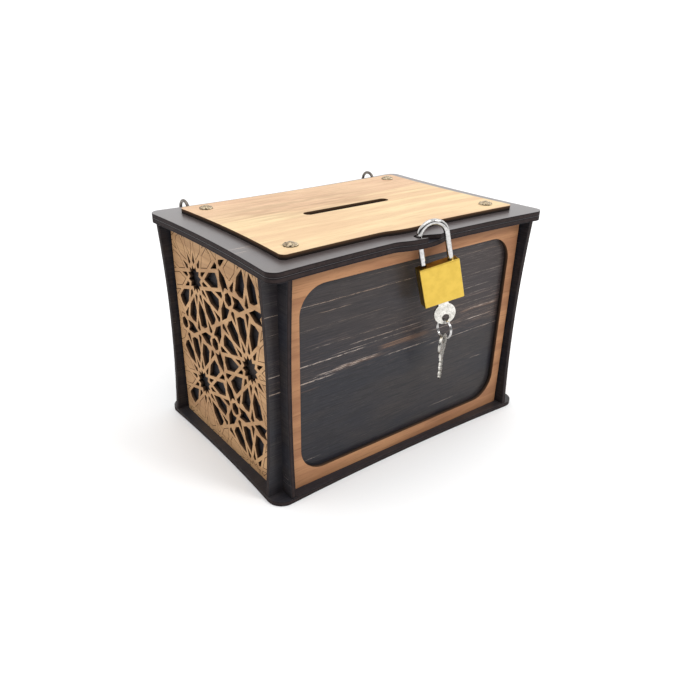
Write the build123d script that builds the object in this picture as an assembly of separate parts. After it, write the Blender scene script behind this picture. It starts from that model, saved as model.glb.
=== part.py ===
"""Donation box: a laser-cut sheet box with a ring-hinged lid, held shut by a hanging padlock.

Units are millimetres.  X runs along the long side, the front faces -Y and Z is up.
The origin is the middle of the face that the box stands on.
"""
from math import atan2, cos, degrees, hypot, radians, sin, sqrt, tan
import os

from build123d import *

# ---- driving dimensions -------------------------------------------------------------

SHEET = 4.0                  # every flat piece is cut from one board
FIT = 0.1                    # play of a tab in its slot
HAIR = 0.2                   # what a tab stops short of the next layer

# stack, bottom to top
WALL_FOOT = SHEET
WALL_TOP = 185.0
RIM_TOP = WALL_TOP + SHEET
LID_TOP = RIM_TOP + SHEET
PANEL_TOP = LID_TOP + SHEET

# plan outlines: half sizes at the corners, and how far each side bows inwards
BASE_PLAN = dict(length=141.8, depth=98.8, end_bow=3.0, side_bow=4.0, corner=13.0)
LID_PLAN = dict(length=140.3, depth=98.5, end_bow=4.0, side_bow=5.5, corner=8.0)
PANEL_PLAN = dict(length=119.2, depth=80.2, end_bow=3.2, side_bow=3.4, corner=4.5)
LID_NOSE, PANEL_NOSE = 5.7, 4.0
NOSE_HALF_WIDTH = 26.0
NOSE_BLEND = 24.0

# walls: planes, fin outlines (half length at foot, waist and top)
FRONT_PLANE = 84.5           # outer face of the front and back walls
END_PLANE = 126.5            # outer face of the end walls
LONG_FIN = dict(foot=140.2, waist=136.2, top=139.3)
END_FIN = dict(foot=97.0, waist=94.0, top=97.6)
WAIST_HEIGHT = 90.0
TAB_LENGTH = 30.0
TAB_ROOT = SHEET + 1.0        # a tab and the bit of wall that it grows from
LONG_TABS = (-80.0, 0.0, 80.0)
END_TABS = (-45.0, 45.0)
LAP_HEIGHT = (WALL_FOOT + WALL_TOP) / 2

# front frame
FRAME_HALF = 120.5
STILE = 9.2
RAIL = 11.2
OPENING_RADIUS = 23.0

# pierced end panels
LATTICE_HALF = 76.6
STAR_PITCH = 98.0
STAR_SIDE = 48.0             # the star row nearest the front, from the panel's middle
STAR_HEIGHT = 99.0
STRAP = 3.0
PETAL_HALF = 7.55            # distance of a petal's side lines from its centre line
PIERCED = dict(back=-70.6, front=70.5, low=10.0, high=180.0)
ENGRAVE_WIDTH = 0.6
ENGRAVE_DEPTH = 0.5

# rim opening and coin slot
MOUTH_LENGTH, MOUTH_DEPTH, MOUTH_RADIUS = 226.0, 142.0, 10.0
SLOT_LENGTH, SLOT_WIDTH = 90.0, 9.5

# nails of the lid panel
NAIL_X, NAIL_Y = 101.6, 64.4
NAIL_HEAD, NAIL_RISE, NAIL_PETALS = 12.0, 3.0, 10
NAIL_PETAL_RING, NAIL_CROWN = 4.4, 4.6
NAIL_SHANK, NAIL_LENGTH = 1.8, 7.0

# ring hinges: the rings' common centre line is the lid's axis
HINGE_X = 105.5
HINGE_Y = 99.0
RING_RADIUS, RING_WIRE = 8.3, 2.8
RING_HOLE = 5.6
RING_HOLE_Y = HINGE_Y - 7.7
RING_GAP = 6.0               # degrees between the ring's ends, at its lower back
RING_GAP_AT = 60.0

# padlock, drawn upright round the leg that hangs in the hasp, x towards the other leg
HASP_X, HASP_Y = -2.6, -92.5
HASP_HOLE = 9.6
HASP_SLOT = 7.6
LEG_POINT = (-3.2, -93.1, RIM_TOP)
LOCK_YAW = -22.0
LOCK_ROLL = 13.5
LEG_WIRE = 4.7
LEG_PITCH = 22.6
ARCH_RISE = 1.0
SHORT_TIP = -19.6            # ends of the legs, from the middle of the hasp
LONG_TIP = -45.0
TIP_CHAMFER = 0.6
NECK_WIRE, NECK_LOW, NECK_HIGH = 3.5, -43.0, -35.5
NOTCH_RISE, NOTCH_HEIGHT, NOTCH_LEFT = 2.6, 3.2, 1.1
LOCK_WIDTH, LOCK_HEIGHT, LOCK_DEPTH = 33.6, 33.0, 10.4
LOCK_TOP = -21.0
LOCK_EDGE = 0.9
LEG_BORE = LEG_WIRE + 0.5
SHORT_BORE_DEPTH, LONG_BORE_DEPTH = 13.0, 30.5

# lock works
PLUG_DIAMETER, PLUG_LENGTH, PLUG_PLAY = 9.0, 23.2, 0.08
KEYWAY_WIDTH, KEYWAY_THICK, KEYWAY_DEPTH = 6.2, 2.1, 22.5
PLUG_HEADROOM = 0.4
BOLT_DROP = 7.0              # bolt below the top of the lock body
BOLT_DIAMETER, BOLT_PLAY, BOLT_CHAMFER = 3.6, 0.15, 0.4
BOLT_LEFT, BOLT_RIGHT, BOLT_BORE_RIGHT = 2.75, 14.3, 18.4
SPRING_WIRE, SPRING_RADIUS, SPRING_PITCH, SPRING_LENGTH = 0.45, 1.3, 0.95, 3.6
STOP_PIN, STOP_PIN_X, STOP_PIN_Z = 2.0, 25.5, -41.8
STOP_PIN_FRONT = -3.8

# keys
BOW_RADIUS, BOW_THICK = 9.2, 1.9
BOW_DROP = 11.6              # centre of the bow below the lock body
BOW_HOLE, BOW_HOLE_DROP = 6.4, 3.8
BLADE_WIDTH, BLADE_LENGTH, BLADE_THICK = 5.6, 22.0, 1.7
SHOULDER_WIDTH, SHOULDER_LENGTH, SHOULDER_GAP = 8.6, 4.0, 0.3
NOTCHES = (1.2, 0.7, 1.5, 0.9)
NOTCH_PITCH, NOTCH_FIRST = 4.2, 5.0
KEY_RING_RADIUS, KEY_RING_WIRE = 8.3, 1.2
KEY_RING_SAG = 2.2           # ring's wire below the middle of the hole in the key
KEY_RING_TURN = -5.0         # direction of the ring's plane
SPARE_SAG = 1.4              # middle of the spare key's hole below the ring's wire
SPARE_TURN = 32.0            # how far the spare key is turned on the ring


# ---- helpers ------------------------------------------------------------------------

def bowed_plan(length, depth, end_bow, side_bow, corner):
    """A rectangle with hollow sides and round corners."""
    corners = [(-length, -depth), (length, -depth), (length, depth), (-length, depth)]
    middles = [(0, side_bow - depth), (length - end_bow, 0), (0, depth - side_bow), (end_bow - length, 0)]
    with BuildSketch() as sketch:
        with BuildLine():
            for index, middle in enumerate(middles):
                ThreePointArc(corners[index], middle, corners[(index + 1) % 4])
        make_face()
        fillet(sketch.vertices(), corner)
    return sketch.sketch


def nosed_plan(plan, nose):
    """The plan outline with a nose on its front edge, cut from a large disc and blended in."""
    edge = plan["depth"] - plan["side_bow"]
    radius = (NOSE_HALF_WIDTH ** 2 + nose ** 2) / (2 * nose)
    disc = Pos(0, radius - edge - nose) * Circle(radius)
    keep = Pos(0, -edge) * Rectangle(3 * NOSE_HALF_WIDTH, 4 * nose)
    shape = bowed_plan(**plan) + (disc & keep)
    roots = [v for v in shape.vertices() if abs(v.X) < 1.5 * NOSE_HALF_WIDTH and v.Y < 0]
    return fillet(roots, NOSE_BLEND)


def slab(face, bottom, thickness=SHEET):
    """A flat piece with the given plan, lying at a height."""
    return Pos(0, 0, bottom) * extrude(face, thickness)


def slotted(piece, places):
    """Cuts through slots for tabs; each place is (x, y, length along x, length along y)."""
    for x, y, along_x, along_y in places:
        piece -= Pos(x, y, piece.center().Z) * Box(along_x + FIT, along_y + FIT, 3 * SHEET)
    return piece


def tab_places():
    """Where the walls' tabs pass through the base and the rim."""
    long_y = FRONT_PLANE - SHEET / 2
    end_x = END_PLANE - SHEET / 2
    places = [(x, side * long_y, TAB_LENGTH, SHEET) for x in LONG_TABS for side in (-1, 1)]
    places += [(side * end_x, y, SHEET, TAB_LENGTH) for y in END_TABS for side in (-1, 1)]
    return places


def wall_face(fin, tabs, lap_at, lap_from, lap_to):
    """A wall in its own plane: u along the wall, v up, with hollow fins, tabs and laps."""
    with BuildSketch() as sketch:
        with BuildLine():
            Line((-fin["foot"], WALL_FOOT), (fin["foot"], WALL_FOOT))
            ThreePointArc((fin["foot"], WALL_FOOT), (fin["waist"], WAIST_HEIGHT), (fin["top"], WALL_TOP))
            Line((fin["top"], WALL_TOP), (-fin["top"], WALL_TOP))
            ThreePointArc((-fin["top"], WALL_TOP), (-fin["waist"], WAIST_HEIGHT), (-fin["foot"], WALL_FOOT))
        make_face()
        for place in tabs:
            with Locations((place, (HAIR + TAB_ROOT) / 2), (place, WALL_TOP + SHEET - (HAIR + TAB_ROOT) / 2)):
                Rectangle(TAB_LENGTH, TAB_ROOT - HAIR)
        for side in (-1, 1):
            with Locations((side * lap_at, (lap_from + lap_to) / 2)):
                Rectangle(SHEET + FIT, lap_to - lap_from, mode=Mode.SUBTRACT)
    return sketch.sketch


def upright(face, outer_y):
    """Stands a drawn face up as a board facing -Y, with its outer face at outer_y."""
    return Pos(0, outer_y, 0) * extrude(Rot(90, 0, 0) * face, -SHEET)


def endwise(face, outer_x):
    """Stands a drawn face up as a board facing -X, with u = -Y and its outer face at outer_x."""
    board = Rot(0, 0, -90) * extrude(Rot(90, 0, 0) * face, -SHEET)
    return Pos(outer_x, 0, 0) * board


def polar(radius, angle):
    return (radius * cos(radians(angle)), radius * sin(radians(angle)))


# ---- sheet work ---------------------------------------------------------------------

def make_base():
    base = slab(bowed_plan(**BASE_PLAN), 0)
    return slotted(base, tab_places())


def make_rim():
    outline = nosed_plan(LID_PLAN, LID_NOSE)
    outline -= RectangleRounded(MOUTH_LENGTH, MOUTH_DEPTH, MOUTH_RADIUS)
    outline -= lid_holes()
    return slotted(slab(outline, WALL_TOP), tab_places())


def lid_holes():
    """The hasp hole in the nose and the two holes that the hinge rings run through."""
    holes = Pos(HASP_X, HASP_Y) * Circle(HASP_HOLE / 2)
    for side in (-1, 1):
        holes += Pos(side * HINGE_X, RING_HOLE_Y) * Circle(RING_HOLE / 2)
    return holes


def make_lid():
    """The moving sheet; its hasp hole is open to the front under the shackle's arch."""
    outline = nosed_plan(LID_PLAN, LID_NOSE) - lid_holes() - SlotOverall(SLOT_LENGTH, SLOT_WIDTH)
    way_out = Pos(LEG_POINT[0], LEG_POINT[1]) * Rot(0, 0, LOCK_YAW) * Pos(LEG_PITCH / 2, 0)
    outline -= way_out * Rectangle(LEG_PITCH, HASP_SLOT)
    lid = slab(outline, RIM_TOP)
    for x, y in nail_places():
        lid -= Pos(x, y, LID_TOP) * Cylinder(NAIL_SHANK / 2, 2 * (NAIL_LENGTH - SHEET))
    return lid


def make_lid_panel():
    outline = nosed_plan(PANEL_PLAN, PANEL_NOSE) - SlotOverall(SLOT_LENGTH, SLOT_WIDTH)
    for x, y in nail_places():
        outline -= Pos(x, y) * Circle(NAIL_SHANK / 2)
    return slab(outline, LID_TOP)


def make_long_wall(side):
    """The front (-1) or back (+1) wall, lapped from below by the end walls."""
    face = wall_face(LONG_FIN, LONG_TABS, END_PLANE - SHEET / 2, WALL_FOOT, LAP_HEIGHT)
    wall = upright(face, -FRONT_PLANE)
    return wall if side < 0 else mirror(wall, Plane.XZ)


def make_end_wall(side):
    """The left (-1) or right (+1) wall, lapped from above by the long walls."""
    face = wall_face(END_FIN, END_TABS, FRONT_PLANE - SHEET / 2, LAP_HEIGHT, WALL_TOP)
    wall = endwise(face, -END_PLANE)
    return wall if side < 0 else mirror(wall, Plane.YZ)


def make_front_frame():
    height = WALL_TOP - WALL_FOOT
    middle = Pos(0, WALL_FOOT + height / 2)
    opening = RectangleRounded(2 * (FRAME_HALF - STILE), height - 2 * RAIL, OPENING_RADIUS)
    face = middle * (Rectangle(2 * FRAME_HALF, height) - opening)
    return upright(face, -FRONT_PLANE - SHEET)


# ---- pierced end panels -------------------------------------------------------------

def strap_shapes():
    """Outlines of the holes round one star, about its centre, by the name of the hole.

    Twelve lines at PETAL_HALF from the centre make the star, its darts and the petals.
    Twelve more, through the middles between stars, close the petals off.
    """
    half = STRAP / 2
    reach = STAR_PITCH * sqrt(3) / 4
    crossing = PETAL_HALF / sin(radians(15))
    tip = PETAL_HALF / sin(radians(30))
    notch = PETAL_HALF / sin(radians(45))
    midway = reach / cos(radians(30))
    elbow = reach / cos(radians(15))
    side_y = (reach - crossing) * tan(radians(15))
    side_r, side_a = hypot(reach, side_y), degrees(atan2(side_y, reach))
    star = []
    for k in range(12):
        star += [polar(notch - half * sqrt(2), 30 * k), polar(tip - 2 * half, 30 * k + 15)]
    dart = [polar(crossing, 0), polar(tip, 15), polar(notch, 0), polar(tip, -15)]
    petal = [polar(tip, 15), polar(crossing, 0), polar(side_r, side_a), polar(elbow, 15)]
    petal += [polar(side_r, 30 - side_a), polar(crossing, 30)]
    slope = tan(radians(15))
    outer_x = (2 * reach + crossing * slope) / (sqrt(3) + slope)
    outer_y = (outer_x - crossing) * slope
    kite = [(crossing, 0), (outer_x, outer_y), (midway, 0), (outer_x, -outer_y)]
    return dict(star=star, dart=dart, petal=petal, kite=kite)


def shrink(points, amount):
    """Moves every side of a polygon inwards by an amount."""
    count = len(points)
    area = sum(points[i][0] * points[(i + 1) % count][1] - points[(i + 1) % count][0] * points[i][1]
               for i in range(count))
    turn = 1 if area > 0 else -1
    moved = []
    for i in range(count):
        before, here, after = points[i - 1], points[i], points[(i + 1) % count]
        moved.append(inner_corner(before, here, after, amount * turn))
    return moved


def inner_corner(before, here, after, amount):
    """The corner where the two sides that meet at a point cross after both are moved."""
    ax, ay = here[0] - before[0], here[1] - before[1]
    bx, by = after[0] - here[0], after[1] - here[1]
    la, lb = hypot(ax, ay), hypot(bx, by)
    ax, ay, bx, by = ax / la, ay / la, bx / lb, by / lb
    reach = amount / (1 + ax * bx + ay * by)
    return (here[0] - reach * (ay + by), here[1] + reach * (ax + bx))


def placed(points, centre, turn):
    c, s = cos(radians(turn)), sin(radians(turn))
    return [(centre[0] + c * x - s * y, centre[1] + s * x + c * y) for x, y in points]


def star_centres():
    """Star centres in the panel's plane (u towards the front, v up), a triangular lattice."""
    step = STAR_PITCH * sqrt(3) / 2
    centres = []
    for column in range(-2, 2):
        for row in range(-2, 3):
            lift = STAR_PITCH * (row + (column % 2) / 2)
            centres.append((STAR_SIDE + step * column, STAR_HEIGHT + lift))
    return centres


def lattice_holes():
    """Every hole of the pattern as a polygon, whether or not the panel has room for it."""
    shapes = strap_shapes()
    half = STRAP / 2
    side = STAR_PITCH / 2 - STAR_PITCH * sqrt(3) / 4
    third = STAR_PITCH / sqrt(3)
    arrow = [(0, 0), (side, side * sqrt(3)), (side, third / 2 - side / sqrt(3))]
    arrow += [(0, third / 2 - 2 * side / sqrt(3))]
    arrow += [(-side, third / 2 - side / sqrt(3)), (-side, side * sqrt(3))]
    hexagon = [polar(2 * side / sqrt(3), 60 * k + 30) for k in range(6)]
    holes = []
    for centre in star_centres():
        holes.append(placed(shapes["star"], centre, 0))
        for k in range(12):
            holes.append(placed(shrink(shapes["dart"], half), centre, 30 * k))
            holes.append(placed(shrink(shapes["petal"], half), centre, 30 * k))
            holes.append(placed(shrink(shapes["kite"], half), centre, 30 * k))
        for k in range(3):
            turn = 60 * k + 30
            middle = placed([(STAR_PITCH / 2, 0)], centre, turn)[0]
            holes.append(placed(shrink(arrow, half), middle, turn))
            holes.append(placed(shrink(arrow, half), middle, turn + 180))
        for turn in (0, 60):
            corner = placed([(third, 0)], centre, turn)[0]
            holes.append(placed(shrink(hexagon, half), corner, 0))
    return holes


def fits(points):
    """Whether a hole lies wholly inside the part of the panel that is pierced."""
    us, vs = [p[0] for p in points], [p[1] for p in points]
    inside_u = PIERCED["back"] <= min(us) and max(us) <= PIERCED["front"]
    return inside_u and PIERCED["low"] <= min(vs) and max(vs) <= PIERCED["high"]


def near(points):
    us, vs = [p[0] for p in points], [p[1] for p in points]
    return min(us) < LATTICE_HALF and max(us) > -LATTICE_HALF and min(vs) < WALL_TOP and max(vs) > WALL_FOOT


def outline_face(points):
    return make_face(Polyline(*points, close=True).edges())


def make_lattice(side):
    """An end panel: holes that fit are cut through, the others are only engraved."""
    height = WALL_TOP - WALL_FOOT
    blank = Pos(0, WALL_FOOT + height / 2) * Rectangle(2 * LATTICE_HALF, height)
    cuts, grooves = [], []
    for points in lattice_holes():
        if fits(points):
            cuts.append(outline_face(points))
        elif near(points):
            inner = outline_face(shrink(points, ENGRAVE_WIDTH))
            grooves.append((outline_face(points) - inner) & blank)
    panel = endwise(blank - cuts, -END_PLANE - SHEET)
    engraving = extrude(Rot(90, 0, 0) * Sketch(children=[g for g in grooves if g]), ENGRAVE_DEPTH, both=True)
    panel -= Pos(-END_PLANE - SHEET, 0, 0) * Rot(0, 0, -90) * engraving
    return panel if side < 0 else mirror(panel, Plane.YZ)


# ---- nails and hinge rings ----------------------------------------------------------

def nail_places():
    return [(side_x * NAIL_X, side_y * NAIL_Y) for side_x in (-1, 1) for side_y in (-1, 1)]


def make_nail():
    """An upholstery nail with a petalled head, standing on the lid panel at the origin."""
    petal = NAIL_HEAD / 2 - NAIL_PETAL_RING
    crown = (NAIL_CROWN ** 2 + NAIL_RISE ** 2) / (2 * NAIL_RISE)
    head = Pos(0, 0, NAIL_RISE - crown) * Sphere(crown)
    for k in range(NAIL_PETALS):
        x, y = polar(NAIL_PETAL_RING, 360 * k / NAIL_PETALS)
        head += Pos(x, y, 0) * Sphere(petal)
    head &= Pos(0, 0, NAIL_RISE) * Box(2 * NAIL_HEAD, 2 * NAIL_HEAD, 2 * NAIL_RISE)
    shank = Pos(0, 0, -NAIL_LENGTH / 2) * Cylinder(NAIL_SHANK / 2, NAIL_LENGTH)
    return head + shank


def make_nails():
    return [Pos(x, y, PANEL_TOP) * make_nail() for x, y in nail_places()]


def bent_wire(radius, diameter, angle=360):
    """Round wire bent to an arc about the z axis, from the x axis on."""
    section = Plane.XZ * Pos(radius, 0) * Circle(diameter / 2)
    return revolve(section, Axis.Z, angle)


def make_hinge_ring(side):
    ring = bent_wire(RING_RADIUS, RING_WIRE, 360 - RING_GAP)
    return Pos(side * HINGE_X, HINGE_Y, RIM_TOP) * Rot(RING_GAP_AT, 0, 0) * Rot(0, 90, 0) * ring


# ---- padlock, all in its own upright frame ------------------------------------------

def rod(diameter, x, low, high):
    """A round rod in the middle plane of the lock."""
    return Pos(x, 0, (low + high) / 2) * Cylinder(diameter / 2, high - low)


def make_shackle():
    arch = Pos(LEG_PITCH / 2, 0, ARCH_RISE) * Rot(90, 0, 0) * bent_wire(LEG_PITCH / 2, LEG_WIRE, 180)
    short_leg = chamfer(rod(LEG_WIRE, 0, SHORT_TIP, ARCH_RISE).edges().group_by(Axis.Z)[0], TIP_CHAMFER)
    long_leg = chamfer(rod(LEG_WIRE, LEG_PITCH, LONG_TIP, ARCH_RISE).edges().group_by(Axis.Z)[0], TIP_CHAMFER)
    shackle = arch + short_leg + long_leg
    neck = rod(2 * LEG_WIRE, LEG_PITCH, NECK_LOW, NECK_HIGH) - rod(NECK_WIRE, LEG_PITCH, NECK_LOW, NECK_HIGH)
    notch = Pos(NOTCH_LEFT + LEG_WIRE, 0, SHORT_TIP + NOTCH_RISE) * Box(2 * LEG_WIRE, 2 * LEG_WIRE, NOTCH_HEIGHT)
    return shackle - neck - notch


def make_lock_body():
    middle = LEG_PITCH / 2
    bottom = LOCK_TOP - LOCK_HEIGHT
    body = Pos(middle, 0, LOCK_TOP - LOCK_HEIGHT / 2) * Box(LOCK_WIDTH, LOCK_DEPTH, LOCK_HEIGHT)
    body = fillet(body.edges(), LOCK_EDGE)
    body -= rod(LEG_BORE, 0, LOCK_TOP - SHORT_BORE_DEPTH, LOCK_TOP + SHEET)
    body -= rod(LEG_BORE, LEG_PITCH, LOCK_TOP - LONG_BORE_DEPTH, LOCK_TOP + SHEET)
    body -= rod(PLUG_DIAMETER + 2 * PLUG_PLAY, middle, bottom - SHEET, bottom + PLUG_LENGTH + PLUG_HEADROOM)
    body -= bolt_rod(BOLT_DIAMETER + 2 * BOLT_PLAY, 0, BOLT_BORE_RIGHT)
    return body - stop_pin_rod(LOCK_DEPTH)


def bolt_rod(diameter, left, right):
    """A round rod along the bolt's line."""
    place = Pos((left + right) / 2, 0, LOCK_TOP - BOLT_DROP)
    return place * Rot(0, 90, 0) * Cylinder(diameter / 2, right - left)


def stop_pin_rod(back):
    """A round rod along the stop pin's line, from its front end to y = back."""
    place = Pos(STOP_PIN_X, (STOP_PIN_FRONT + back) / 2, STOP_PIN_Z)
    return place * Rot(90, 0, 0) * Cylinder(STOP_PIN / 2, back - STOP_PIN_FRONT)


def make_stop_pin():
    return stop_pin_rod(LOCK_DEPTH / 2 - HAIR)


def make_bolt():
    """The sprung bolt, drawn back clear of the free leg's bore."""
    return chamfer(bolt_rod(BOLT_DIAMETER, BOLT_LEFT, BOLT_RIGHT).edges(), BOLT_CHAMFER)


def make_bolt_spring():
    path = Helix(SPRING_PITCH, SPRING_LENGTH - SPRING_WIRE, SPRING_RADIUS)
    coil = sweep(Plane(origin=path @ 0, z_dir=path % 0) * Circle(SPRING_WIRE / 2), path, is_frenet=True)
    gap = BOLT_BORE_RIGHT - BOLT_RIGHT - SPRING_LENGTH
    return Pos(BOLT_RIGHT + gap / 2 + SPRING_WIRE / 2, 0, LOCK_TOP - BOLT_DROP) * Rot(0, 90, 0) * coil


def make_cylinder():
    """The turning cylinder with its keyway."""
    middle = LEG_PITCH / 2
    bottom = LOCK_TOP - LOCK_HEIGHT
    keyway = Pos(middle, 0, bottom) * Box(KEYWAY_WIDTH, KEYWAY_THICK, 2 * KEYWAY_DEPTH)
    return rod(PLUG_DIAMETER, middle, bottom, bottom + PLUG_LENGTH) - keyway


def make_key():
    """A flat key, blade up, in the x-z plane with its shoulder stop at the origin."""
    bow = Pos(0, SHOULDER_GAP - BOW_DROP) * Circle(BOW_RADIUS)
    bow += Pos(0, -SHOULDER_LENGTH / 2) * Rectangle(SHOULDER_WIDTH, SHOULDER_LENGTH)
    bow -= Pos(0, SHOULDER_GAP - BOW_DROP - BOW_HOLE_DROP) * Circle(BOW_HOLE / 2)
    half, tip = BLADE_WIDTH / 2, BLADE_LENGTH
    blade = [(-half, -1), (half, -1), (half, tip - half), (0, tip), (-half, tip - half)]
    face = outline_face(blade)
    for index, depth in enumerate(NOTCHES):
        root = NOTCH_FIRST + index * NOTCH_PITCH
        face -= outline_face([(half, root - depth), (half - depth, root), (half, root + depth), (half + depth, root)])
    key = extrude(bow, BOW_THICK / 2, both=True) + extrude(face, BLADE_THICK / 2, both=True)
    return Rot(90, 0, 0) * key


def make_key_ring():
    """A split ring drawn as two touching coils, in the y-z plane, hanging from the origin."""
    coils = [Pos(side * KEY_RING_WIRE * 0.49, 0, 0) * Rot(0, 90, 0) * bent_wire(KEY_RING_RADIUS, KEY_RING_WIRE)
             for side in (-1, 1)]
    return Pos(0, 0, -KEY_RING_RADIUS) * (coils[0] + coils[1])


# ---- places ------------------------------------------------------------------------

LOCK_PLACE = Pos(*LEG_POINT) * Rot(0, 0, LOCK_YAW) * Rot(0, -LOCK_ROLL, 0)
KEY_PLACE = LOCK_PLACE * Pos(LEG_PITCH / 2, 0, LOCK_TOP - LOCK_HEIGHT - SHOULDER_GAP)
HOLE_TO_STOP = BOW_DROP - SHOULDER_GAP + BOW_HOLE_DROP
KEY_HOLE = (KEY_PLACE * Pos(0, 0, -HOLE_TO_STOP)).position
RING_PLACE = Pos(KEY_HOLE) * Pos(0, 0, -KEY_RING_SAG) * Rot(0, 0, KEY_RING_TURN)
SPARE_HOLE = RING_PLACE * Pos(0, 0, -2 * KEY_RING_RADIUS - SPARE_SAG)
SPARE_PLACE = SPARE_HOLE * Rot(0, 0, SPARE_TURN) * Rot(0, 180, 0) * Pos(0, 0, HOLE_TO_STOP)

NODES = {
    "base_plate": make_base,
    "front_wall": lambda: make_long_wall(-1),
    "back_wall": lambda: make_long_wall(1),
    "left_wall": lambda: make_end_wall(-1),
    "right_wall": lambda: make_end_wall(1),
    "top_frame": make_rim,
    "front_frame": make_front_frame,
    "left_lattice": lambda: make_lattice(-1),
    "right_lattice": lambda: make_lattice(1),
    "lid": make_lid,
    "lid_panel": make_lid_panel,
    "panel_nails": make_nails,
    "left_hinge_ring": lambda: make_hinge_ring(-1),
    "right_hinge_ring": lambda: make_hinge_ring(1),
    "padlock_shackle": lambda: LOCK_PLACE * make_shackle(),
    "padlock_body": lambda: LOCK_PLACE * make_lock_body(),
    "lock_cylinder": lambda: LOCK_PLACE * make_cylinder(),
    "lock_bolt": lambda: LOCK_PLACE * make_bolt(),
    "bolt_spring": lambda: LOCK_PLACE * make_bolt_spring(),
    "stop_pin": lambda: LOCK_PLACE * make_stop_pin(),
    "lock_key": lambda: KEY_PLACE * make_key(),
    "key_ring": lambda: RING_PLACE * make_key_ring(),
    "spare_key": lambda: SPARE_PLACE * make_key(),
}

os.makedirs("parts", exist_ok=True)
for name, build in NODES.items():
    made = build()
    solids = made if isinstance(made, list) else made.solids()
    export_step(Compound(children=list(solids)), f"parts/{name}.step")
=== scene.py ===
import math

import bmesh
import bpy
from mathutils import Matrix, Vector


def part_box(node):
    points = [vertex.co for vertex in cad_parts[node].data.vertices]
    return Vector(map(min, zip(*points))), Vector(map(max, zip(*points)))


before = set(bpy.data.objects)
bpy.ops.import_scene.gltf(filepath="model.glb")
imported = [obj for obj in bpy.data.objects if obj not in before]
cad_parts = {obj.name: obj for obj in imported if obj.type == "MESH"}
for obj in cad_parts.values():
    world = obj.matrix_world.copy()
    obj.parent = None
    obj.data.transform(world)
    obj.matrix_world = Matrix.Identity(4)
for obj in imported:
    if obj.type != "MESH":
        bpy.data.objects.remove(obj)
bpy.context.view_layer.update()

mm = 0.001
print("frame loaded")


# shader maths: a wrapped socket, and the sheet of nodes it lives on

class Wire:
    def __init__(self, sheet, socket):
        self.sheet = sheet
        self.socket = socket

    def maths(self, operation, first, second=0.0):
        return self.sheet.add("Math", {"operation": operation}, {0: first, 1: second})

    def __add__(self, other):
        return self.maths("ADD", self, other)

    def __radd__(self, other):
        return self.maths("ADD", other, self)

    def __sub__(self, other):
        return self.maths("SUBTRACT", self, other)

    def __rsub__(self, other):
        return self.maths("SUBTRACT", other, self)

    def __mul__(self, other):
        return self.maths("MULTIPLY", self, other)

    def __rmul__(self, other):
        return self.maths("MULTIPLY", other, self)

    def __pow__(self, other):
        return self.maths("POWER", self, other)

    def size(self):
        return self.maths("ABSOLUTE", self)

    def most(self, other):
        return self.maths("MAXIMUM", self, other)

    def ramp(self, low, high, start=0.0, end=1.0, shape="SMOOTHSTEP"):
        settings = {"interpolation_type": shape, "clamp": True}
        return self.sheet.add("MapRange", settings, {0: self, 1: low, 2: high, 3: start, 4: end})


class Sheet:
    # the nodes of one material, or of the world
    def __init__(self, owner, coordinates="Object"):
        owner.use_nodes = True
        self.owner = owner
        self.tree = owner.node_tree
        self.place = self.add("TexCoord", out=coordinates)
        self.x = self.add("SeparateXYZ", {}, {0: self.place}, out=0)
        self.y = self.add("SeparateXYZ", {}, {0: self.place}, out=1)
        self.z = self.add("SeparateXYZ", {}, {0: self.place}, out=2)

    def add(self, kind, settings=None, sockets=None, out=0):
        node = self.tree.nodes.new("ShaderNode" + kind)
        for key, value in (settings or {}).items():
            setattr(node, key, value)
        for key, value in (sockets or {}).items():
            self.feed(node.inputs[key], value)
        return Wire(self, node.outputs[out])

    def feed(self, socket, value):
        if isinstance(value, Wire):
            self.tree.links.new(value.socket, socket)
        elif isinstance(value, tuple) and socket.type == "RGBA":
            socket.default_value = (*value, 1.0)
        else:
            socket.default_value = value

    def reach(self, axis):
        # how far a point lies from the middle plane across the axis
        return getattr(self, axis).size()

    def blend(self, amount, first, second):
        settings = {"data_type": "RGBA", "blend_type": "MIX", "clamp_factor": True}
        return self.add("Mix", settings, {0: amount, 6: first, 7: second}, out=2)

    def noise(self, scale, detail=4.0, rough=0.55, warp=0.0, shift=(0.0, 0.0, 0.0)):
        # scale is one number, or a tuple with one for each axis
        even = not isinstance(scale, tuple)
        mapping = {"Vector": self.place, "Scale": (1.0, 1.0, 1.0) if even else scale, "Location": shift}
        vector = self.add("Mapping", {}, mapping)
        sockets = {"Vector": vector, "Scale": scale if even else 1.0}
        sockets.update({"Detail": detail, "Roughness": rough, "Distortion": warp})
        return self.add("TexNoise", {}, sockets)

    def grain(self, axis, fine, coarse, **more):
        # a noise that is coarse along the grain and fine across it
        return self.noise(tuple(coarse if name == axis else fine for name in "xyz"), **more)

    def layered(self, colour, look, patterns):
        # each layer lays one more colour where its pattern lies in the layer's span
        for pattern, span, tint in look["layers"]:
            colour = self.blend(patterns[pattern].ramp(*span), colour, look[tint])
        return colour

    def bump(self, height, strength, distance):
        return self.add("Bump", {}, {"Height": height, "Strength": strength, "Distance": distance})

    def finish(self, shader="Principled BSDF", **wanted):
        for name, value in wanted.items():
            self.feed(self.tree.nodes[shader].inputs[name.replace("_", " ")], value)
        return self.owner


def newSheet(name):
    return Sheet(bpy.data.materials.new(name))


def dress(material, *nodes):
    for node in nodes:
        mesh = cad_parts[node].data
        for index in range(len(mesh.materials)):
            mesh.materials[index] = material
        if not mesh.materials:
            mesh.materials.append(material)


def faceLevels(node, axis):
    # a flat board's two faces, as distances from the middle plane or from the floor
    return sorted(abs(corner["xyz".index(axis)]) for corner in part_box(node))


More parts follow.
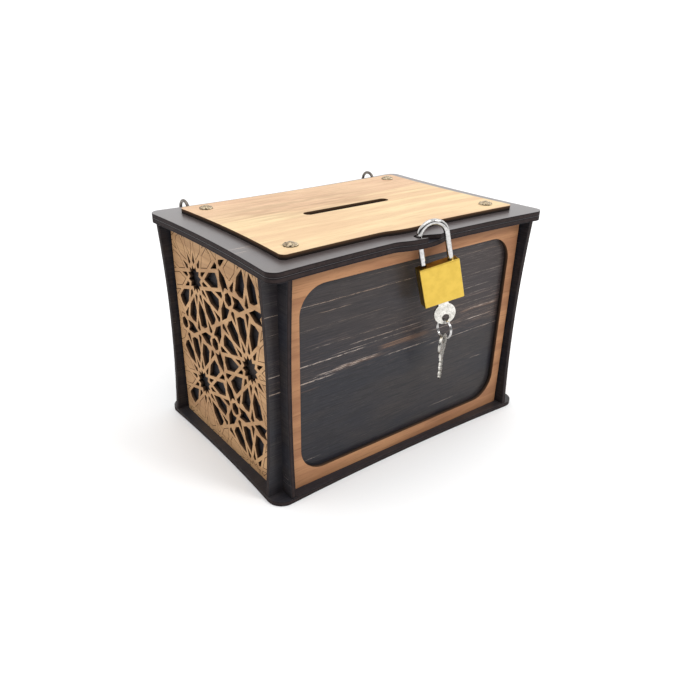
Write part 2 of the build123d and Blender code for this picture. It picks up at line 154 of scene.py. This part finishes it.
# dark boards
# A span is (from, to), or (from, to, lowest, highest), of a soft step.
blackBoard = {
    "ground": (0.010, 0.010, 0.013), "warm": (0.038, 0.031, 0.030), "cool": (0.022, 0.022, 0.029),
    "pale": (0.60, 0.50, 0.43), "amber": (0.40, 0.27, 0.19), "pore": (0.11, 0.095, 0.088),
    # the sheen colour and its amounts paint a sheen into the lid's colour, a painted reflection
    "paintedSheenColour": (0.150, 0.118, 0.112), "edge": (0.010, 0.007, 0.008), "edgeCore": (0.034, 0.023, 0.022),
    "gloss": {"IOR": 1.45, "Specular_IOR_Level": 0.18, "Coat_Roughness": 0.30},
    "fibre": {"fine": 1300, "coarse": 30, "detail": 6, "rough": 0.68},
    "pores": {"fine": 2600, "coarse": 110, "detail": 3, "rough": 0.6, "shift": (0.31, 0.17, 0.05)},
    "cloud": {"fine": 26, "coarse": 8, "detail": 3},
    "fleck": {"fine": 1600, "coarse": 42, "detail": 5, "rough": 0.7, "shift": (0.9, 0.4, 0.7)},
    "bands": {"fine": 60, "coarse": 7, "detail": 3, "rough": 0.5, "shift": (0.2, 0.8, 0.1)},
    "soot": {"scale": 260, "detail": 4},
    "layers": (("cloud", (0.36, 0.66), "warm"), ("fibre", (0.54, 0.40, 0.0, 0.75), "ground"),
               ("pores", (0.58, 0.72, 0.0, 0.35), "pore")),
    "paintedSheenBase": 0.55, "paintedSheenFibre": 0.9,
    "fleckSpan": (0.625, 0.70), "bandSpan": (0.52, 0.64, 0.0, 0.38), "sootSpan": (0.35, 0.65, 0.55, 1.0),
    "rough": 0.55, "roughFibre": 0.20, "roughFleck": 0.25, "roughEdge": 0.16,
    "reliefFibre": 0.7, "reliefPores": 0.5, "reliefFleck": 0.6, "bump": (0.30, 0.4 * mm),
    # a cut edge starts this far inside the face, and its lighter core keeps this far from the middle
    "edgeSpan": (0.08 * mm, 0.22 * mm), "coreSpan": (1.6 * mm, 0.7 * mm),
}

wornLine = {
    "soft": 0.45, "fadeOut": 5, "fadeIn": 8, "drift": 1.0 * mm,
    "gaps": {"fine": 2400, "coarse": 150, "detail": 4, "rough": 0.75}, "gapSpan": (0.44, 0.57, 0.05, 1.0),
    "wobble": {"fine": 1, "coarse": 30, "detail": 3}, "amberSpan": (0.40, 0.62),
}

# Lines and patches, in millimetres: level, half width, start, end, and strength.
frontWear = {
    "axis": "z",
    "lines": (
        (156.8, 0.45, -142, 4, 0.75), (149.3, 0.50, -92, -62, 0.45), (109.2, 0.60, -142, -48, 0.90),
        (115.5, 0.50, -60, 12, 0.60), (111.4, 0.45, -78, 20, 0.45), (94.9, 0.70, -142, -78, 0.90),
        (98.3, 0.60, -92, -34, 0.75), (99.6, 0.50, -74, -30, 0.60), (97.0, 0.45, -100, -52, 0.55),
        (95.2, 0.60, -24, 24, 0.60), (91.6, 0.50, 24, 140, 0.55), (113.0, 0.90, 66, 108, 0.60),
        (103.2, 0.70, 70, 104, 0.80), (119.5, 0.40, 52, 140, 0.30), (104.0, 0.45, 28, 60, 0.50),
        (145.5, 0.40, 40, 140, 0.25), (133.5, 0.50, 62, 92, 0.45), (127.8, 0.40, 70, 140, 0.22),
        (61.8, 0.60, 82, 95, 0.50), (66.5, 0.50, 72, 80, 0.30), (27.0, 0.45, 34, 68, 0.40),
        (165.0, 0.40, 54, 110, 0.30), (168.6, 0.40, -60, 30, 0.20), (138.0, 0.40, -112, -30, 0.25),
        (24.0, 0.60, -104, -92, 0.40), (122.0, 0.40, -100, -10, 0.30)),
    "patches": ((103.7, 2.6, -30, 24, 0.75), (98.2, 1.8, -78, -30, 0.60), (112.5, 1.6, 60, 108, 0.45),
                (88.0, 0.8, -112, -90, 0.30)),
    "brown": (0.052, 0.037, 0.034), "dust": (0.165, 0.135, 0.125), "rust": (0.24, 0.150, 0.105),
    "tan": (0.34, 0.18, 0.10),
    "busy": {"fine": 1500, "coarse": 38, "detail": 6, "rough": 0.74, "shift": (0.4, 0.1, 0.3)},
    "busySpan": (0.53, 0.64), "upperSpan": (92 * mm, 104 * mm), "rightSpan": (-60 * mm, 90 * mm, 0.35, 1.0),
    "warmLevel": 108 * mm, "warmSpan": (30 * mm, 6 * mm),
    "brownAmount": 0.55, "dustAmount": 0.55, "rustAmount": 0.50, "tanAmount": 0.85,
    "patchDrift": 3, "patchBase": 0.35, "patchBusy": 0.65, "fleckLow": 0.30, "fleckUpper": 0.70,
}
topWear = {
    "axis": "y",
    "lines": ((-37.8, 0.9, -136, -118, 0.85), (-40.8, 0.5, -133, -115, 0.45), (-46.8, 0.8, -141, -124, 0.70),
              (-50.0, 0.4, -138, -118, 0.35)),
}


def stripes(sheet, level, spots):
    # soft-ended lines along x, each at its own level
    out, into = wornLine["fadeOut"], wornLine["fadeIn"]
    total = None
    for centre, half, start, end, strength in spots:
        width = (level - centre * mm).size().ramp(half * mm, half * mm * wornLine["soft"])
        begins = sheet.x.ramp((start - out) * mm, (start + into) * mm)
        stops = sheet.x.ramp((end + out) * mm, (end - into) * mm)
        line = width * begins * stops * strength
        total = line if total is None else total.most(line)
    return total


def rubbedFront(sheet, grain, colour, fleck, level, wobble):
    # the upper half and the right are busier and browner than the rest
    wear = frontWear
    upper = sheet.z.ramp(*wear["upperSpan"])
    right = sheet.x.ramp(*wear["rightSpan"])
    busy = sheet.grain(grain, **wear["busy"]).ramp(*wear["busySpan"])
    warmBand = (sheet.z - wear["warmLevel"]).size().ramp(*wear["warmSpan"])
    colour = sheet.blend(upper * right * wear["brownAmount"], colour, wear["brown"])
    colour = sheet.blend(busy * upper * right * wear["dustAmount"], colour, wear["dust"])
    colour = sheet.blend(busy * warmBand * right * wear["rustAmount"], colour, wear["rust"])
    rubbed = stripes(sheet, level + wobble * wear["patchDrift"], wear["patches"])
    rubbed = rubbed * (wear["patchBase"] + busy * wear["patchBusy"])
    colour = sheet.blend(rubbed * wear["tanAmount"], colour, wear["tan"])
    return colour, fleck * (wear["fleckLow"] + upper * wear["fleckUpper"])


def darkBoard(name, node, grain, depth, wear=None, coat=0.3, paintedSheenAmount=0.0):
    # grain is the axis the grain runs along and depth the axis through the board
    look = blackBoard
    sheet = newSheet(name)
    patterns = {key: sheet.grain(grain, **look[key]) for key in ("fibre", "pores", "cloud")}
    fibre, pores, cloud = patterns.values()
    colour = sheet.layered(look["cool"], look, patterns)
    # painted sheen: the colour is lightened towards the sheen colour, standing in for a glossy reflection
    if paintedSheenAmount:
        colour = sheet.blend(paintedSheenAmount * (look["paintedSheenBase"] + fibre * look["paintedSheenFibre"]), colour, look["paintedSheenColour"])
    fleck = sheet.grain(grain, **look["fleck"]).ramp(*look["fleckSpan"])
    fleck = fleck * sheet.grain(grain, **look["bands"]).ramp(*look["bandSpan"])
    if wear:
        level = getattr(sheet, wear["axis"])
        wobble = (sheet.grain(grain, **wornLine["wobble"]) - 0.5) * wornLine["drift"]
        if wear is frontWear:
            colour, fleck = rubbedFront(sheet, grain, colour, fleck, level, wobble)
        gaps = sheet.grain(grain, **wornLine["gaps"]).ramp(*wornLine["gapSpan"])
        tint = sheet.blend(cloud.ramp(*wornLine["amberSpan"]), look["pale"], look["amber"])
        colour = sheet.blend(stripes(sheet, level + wobble, wear["lines"]) * gaps, colour, tint)
    colour = sheet.blend(fleck, colour, look["pale"])
    # burnt sawn edge, a little lighter along the middle of the board
    near, far = faceLevels(node, depth)
    away = (sheet.reach(depth) - (near + far) / 2).size()
    edge = away.ramp(*((far - near) / 2 - inset for inset in look["edgeSpan"]))
    soot = sheet.noise(**look["soot"]).ramp(*look["sootSpan"])
    burnt = sheet.blend(away.ramp(*look["coreSpan"]) * soot, look["edge"], look["edgeCore"])
    colour = sheet.blend(edge, colour, burnt)
    rough = look["rough"] + (fibre - 0.5) * look["roughFibre"] + fleck * look["roughFleck"]
    rough = rough + edge * look["roughEdge"]
    relief = fibre * look["reliefFibre"] + pores * look["reliefPores"] - fleck * look["reliefFleck"]
    bump = sheet.bump(relief, *look["bump"])
    varnish = coat * (1 - edge)
    return sheet.finish(**look["gloss"], Base_Color=colour, Roughness=rough, Normal=bump, Coat_Weight=varnish)


dress(darkBoard("base_board", "base_plate", "x", "z"), "base_plate")
dress(darkBoard("rim_board", "top_frame", "x", "z"), "top_frame")
# the lid gets a painted sheen in its colour as well as a full coat
dress(darkBoard("lid_board", "lid", "x", "z", topWear, coat=1.0, paintedSheenAmount=0.42), "lid")
dress(darkBoard("front_board", "front_wall", "x", "y", frontWear), "front_wall")
dress(darkBoard("back_board", "back_wall", "x", "y"), "back_wall")
dress(darkBoard("end_board", "left_wall", "y", "x", coat=0.0), "left_wall", "right_wall")
print("dark boards dressed")


# brown boards
brownBoards = {
    "walnut": {"light": (0.50, 0.255, 0.125), "mid": (0.36, 0.170, 0.085), "dark": (0.14, 0.062, 0.034)},
    "tan": {"light": (0.62, 0.375, 0.190), "mid": (0.48, 0.275, 0.135), "dark": (0.24, 0.125, 0.062)},
    "oak": {"light": (0.74, 0.575, 0.335), "mid": (0.66, 0.455, 0.270), "dark": (0.38, 0.235, 0.14)},
}
brownGrain = {
    "gloss": {"IOR": 1.45, "Specular_IOR_Level": 0.22},
    "fibre": {"fine": 800, "coarse": 32, "detail": 6, "rough": 0.64, "warp": 0.15},
    "pores": {"fine": 2300, "coarse": 120, "detail": 3, "rough": 0.6, "shift": (0.5, 0.1, 0.8)},
    "figure": {"fine": 75, "coarse": 9, "detail": 4, "rough": 0.5, "warp": 0.6, "shift": (0.15, 0.65, 0.35)},
    "cloud": {"scale": 16, "detail": 3, "shift": (0.6, 0.2, 0.9)},
    "layers": (("figure", (0.36, 0.64), "mid"), ("fibre", (0.50, 0.74, 0.0, 0.45), "dark"),
               ("pores", (0.58, 0.74, 0.0, 0.40), "dark"), ("cloud", (0.40, 0.70, 0.0, 0.25), "mid")),
    "rough": 0.6, "roughFibre": 0.22, "roughBurnt": 0.25,
    "reliefFibre": 0.6, "reliefPores": 0.7, "bump": (0.30, 0.4 * mm),
}
# the burnt walls of a cut, and the brown glow near its rim, both as depths below the face
burntCut = {
    "wall": (0.016, 0.011, 0.009), "glow": (0.10, 0.052, 0.028),
    "cutSpan": (0.08 * mm, 0.22 * mm), "glowSpan": (0.5 * mm, 3.2 * mm),
}
# the oak veneer turns pinker and darker towards the back, and darker again in one large soft streaky patch
# behind the middle
oakBack = {
    "rearSpan": (20 * mm, 62 * mm, 0.0, 0.62), "figureDrift": 40 * mm,
    "duskyLight": (0.66, 0.42, 0.28), "duskyDark": (0.47, 0.28, 0.185), "duskySpan": (0.40, 0.66),
    "darkPatchX": (12, 0.3), "darkPatchY": (30, -0.8), "darkPatchSpan": (1.6, 0.1, 0.0, 0.50),
    "darkPatchGrain": {"fine": 240, "coarse": 30, "detail": 4}, "darkPatchGrainSpan": (0.36, 0.62),
}


def duskyRear(sheet, grain, colour, dark, fibre, figure):
    rear = (sheet.y + figure * oakBack["figureDrift"]).ramp(*oakBack["rearSpan"])
    dusky = sheet.blend(fibre.ramp(*oakBack["duskySpan"]), oakBack["duskyLight"], oakBack["duskyDark"])
    colour = sheet.blend(rear, colour, dusky)
    (scaleX, shiftX), (scaleY, shiftY) = oakBack["darkPatchX"], oakBack["darkPatchY"]
    darkPatch = (sheet.x * scaleX + shiftX) ** 2 + (sheet.y * scaleY + shiftY) ** 2
    streaks = sheet.grain(grain, **oakBack["darkPatchGrain"]).ramp(*oakBack["darkPatchGrainSpan"])
    return sheet.blend(darkPatch.ramp(*oakBack["darkPatchSpan"]) * streaks, colour, dark)


def brownBoard(name, node, kind, grain, depth):
    # grain is the axis the grain runs along and depth the axis through the board
    look = {**brownGrain, **brownBoards[kind]}
    sheet = newSheet(name)
    patterns = {key: sheet.grain(grain, **look[key]) for key in ("fibre", "pores", "figure")}
    fibre, pores, figure = patterns.values()
    patterns["cloud"] = sheet.noise(**look["cloud"])
    colour = sheet.layered(look["light"], look, patterns)
    if kind == "oak":
        colour = duskyRear(sheet, grain, colour, look["dark"], fibre, figure)
    face = max(faceLevels(node, depth))
    below = face - sheet.reach(depth)
    cut = below.ramp(*burntCut["cutSpan"])
    char = sheet.blend(below.ramp(*burntCut["glowSpan"]), burntCut["glow"], burntCut["wall"])
    colour = sheet.blend(cut, colour, char)
    rough = look["rough"] + (fibre - 0.5) * look["roughFibre"] + cut * look["roughBurnt"]
    bump = sheet.bump(fibre * look["reliefFibre"] + pores * look["reliefPores"], *look["bump"])
    return sheet.finish(**look["gloss"], Base_Color=colour, Roughness=rough, Normal=bump)


dress(brownBoard("frame_veneer", "front_frame", "walnut", "x", "y"), "front_frame")
dress(brownBoard("lattice_veneer", "left_lattice", "tan", "y", "x"), "left_lattice", "right_lattice")
dress(brownBoard("lid_veneer", "lid_panel", "oak", "x", "z"), "lid_panel")
print("brown boards dressed")


# metals
metalGrain = {
    "cloud": {"scale": 180, "detail": 4},
    "wear": {"scale": 620, "detail": 5, "rough": 0.65, "shift": (0.4, 0.3, 0.2)},
    "fine": (900, 900, 900), "fineDetail": 4, "fineRough": 0.6,
    "dullSpan": (0.35, 0.68), "tarnishSpan": (0.46, 0.62), "tarnishDepth": 0.22,
    "wearRelief": 0.5, "bumpStrength": 0.12, "bumpDepth": 0.2 * mm, "tarnish": 0.0, "scratch": 0.5,
}
metals = {
    "antique_brass_nail": {
        "nodes": ("panel_nails",), "bright": (0.56, 0.46, 0.32), "dull": (0.30, 0.23, 0.15),
        "rough": 0.36, "spread": 0.30, "tarnish": 0.90, "scratch": 2.0},
    "dark_ring_wire": {
        "nodes": ("left_hinge_ring", "right_hinge_ring"),
        "bright": (0.26, 0.23, 0.20), "dull": (0.13, 0.11, 0.10),
        "rough": 0.34, "spread": 0.25, "tarnish": 0.5},
    "chrome_plate": {
        "nodes": ("padlock_shackle", "key_ring"), "bright": (0.64, 0.63, 0.62), "dull": (0.50, 0.49, 0.48),
        "rough": 0.09, "spread": 0.05, "tarnish": 0.30, "fine": (500, 500, 60)},
    "key_plate": {
        "nodes": ("lock_key", "spare_key"), "bright": (0.78, 0.76, 0.71), "dull": (0.60, 0.58, 0.53),
        "rough": 0.25, "spread": 0.14, "tarnish": 0.35, "fine": (1500, 1500, 120)},
    "plain_steel_works": {
        "nodes": ("lock_bolt", "bolt_spring", "stop_pin"),
        "bright": (0.66, 0.66, 0.66), "dull": (0.48, 0.48, 0.49), "rough": 0.32, "spread": 0.2},
    "lock_brass_case": {
        "nodes": ("padlock_body", "lock_cylinder"),
        "bright": (0.69, 0.475, 0.090), "dull": (0.63, 0.425, 0.078), "rough": 0.30, "spread": 0.06},
}


def metal(name, look):
    look = {**metalGrain, **look}
    sheet = newSheet(name)
    cloud = sheet.noise(**look["cloud"])
    fine = sheet.noise(look["fine"], look["fineDetail"], look["fineRough"])
    wear = sheet.noise(**look["wear"])
    colour = sheet.blend(cloud.ramp(*look["dullSpan"]), look["bright"], look["dull"])
    if look["tarnish"]:
        tarnish = tuple(part * look["tarnishDepth"] for part in look["dull"])
        colour = sheet.blend(wear.ramp(*look["tarnishSpan"], 0.0, look["tarnish"]), colour, tarnish)
    rough = look["rough"] + (cloud - 0.5) * look["spread"] + (fine - 0.5) * look["spread"]
    relief = fine + wear * look["wearRelief"]
    bump = sheet.bump(relief, look["bumpStrength"] * look["scratch"], look["bumpDepth"])
    return sheet.finish(Metallic=1.0, Base_Color=colour, Roughness=rough, Normal=bump)


for name, look in metals.items():
    dress(metal(name, look), *look["nodes"])
print("metals dressed")


# camera, floor, room and lights
studio = {
    "eye": (-0.3487, -0.4396, 0.3358), "yaw": 35.855, "pitch": 27.534, "near": 0.02,
    "lens": 33.62, "sensor": 36, "shift": (0.0457, 0.0210),
    "floor": 12.0, "floorDrop": 0.4 * mm,
    "floorColour": (0.95, 0.95, 0.95), "floorRough": 0.9, "floorGloss": 0.1,
    "bright": (1.0, 1.0, 1.0), "shade": (0.07, 0.07, 0.075), "power": 1.24,
    "shadeSide": (-0.10, 0.45), "shadeHeight": (0.62, 0.42),
}
yaw, pitch = math.radians(studio["yaw"]), math.radians(studio["pitch"])

camera = bpy.data.objects.new("shop_camera", bpy.data.cameras.new("shop_camera"))
camera.data.lens = studio["lens"]
camera.data.sensor_width = studio["sensor"]
camera.data.shift_x, camera.data.shift_y = studio["shift"]
camera.data.clip_start = studio["near"]
camera.location = studio["eye"]
camera.rotation_euler = (math.pi / 2 - pitch, 0, -yaw)
bpy.context.scene.collection.objects.link(camera)
bpy.context.scene.camera = camera

bm = bmesh.new()
bmesh.ops.create_grid(bm, x_segments=2, y_segments=2, size=studio["floor"])
bmesh.ops.translate(bm, verts=bm.verts, vec=(0, 0, -studio["floorDrop"]))
floorMesh = bpy.data.meshes.new("floor_sheet")
bm.to_mesh(floorMesh)
bm.free()
floor = bpy.data.objects.new("floor_sheet", floorMesh)
bpy.context.scene.collection.objects.link(floor)
paper = newSheet("floor_paper")
paper.finish(Base_Color=studio["floorColour"], Roughness=studio["floorRough"])
floorMesh.materials.append(paper.finish(Specular_IOR_Level=studio["floorGloss"]))

# a white room, darker low down on the camera's side, where only reflections see it
room = Sheet(bpy.data.worlds.new("soft_room"), "Generated")
towardsCamera = (-math.sin(yaw), -math.cos(yaw), 0)
sockets = {0: room.place, 1: towardsCamera}
side = room.add("VectorMath", {"operation": "DOT_PRODUCT"}, sockets, out="Value")
lowness = room.z.ramp(*studio["shadeHeight"], shape="LINEAR")
shaded = side.ramp(*studio["shadeSide"], shape="LINEAR") * lowness
seen = room.add("LightPath", out="Is Camera Ray")
tone = room.blend((1.0 - seen) * shaded, studio["bright"], studio["shade"])
bpy.context.scene.world = room.finish("Background", Color=tone, Strength=studio["power"])
bpy.context.scene.view_settings.view_transform = "Standard"

softBoxes = {
    "key_light": {"place": (0.55, -1.15, 1.35), "aim": (0, 0, 0.12), "width": 0.45, "power": 9.0},
    "top_light": {"place": (-0.35, 0.05, 1.45), "aim": (0, 0, 0.15), "width": 0.9, "power": 3.0},
}
for name, box in softBoxes.items():
    light = bpy.data.lights.new(name, "AREA")
    light.size = box["width"]
    light.energy = box["power"]
    lamp = bpy.data.objects.new(name, light)
    lamp.location = box["place"]
    lamp.rotation_euler = (Vector(box["aim"]) - Vector(box["place"])).to_track_quat("-Z", "Y").to_euler()
    bpy.context.scene.collection.objects.link(lamp)
print("studio set")
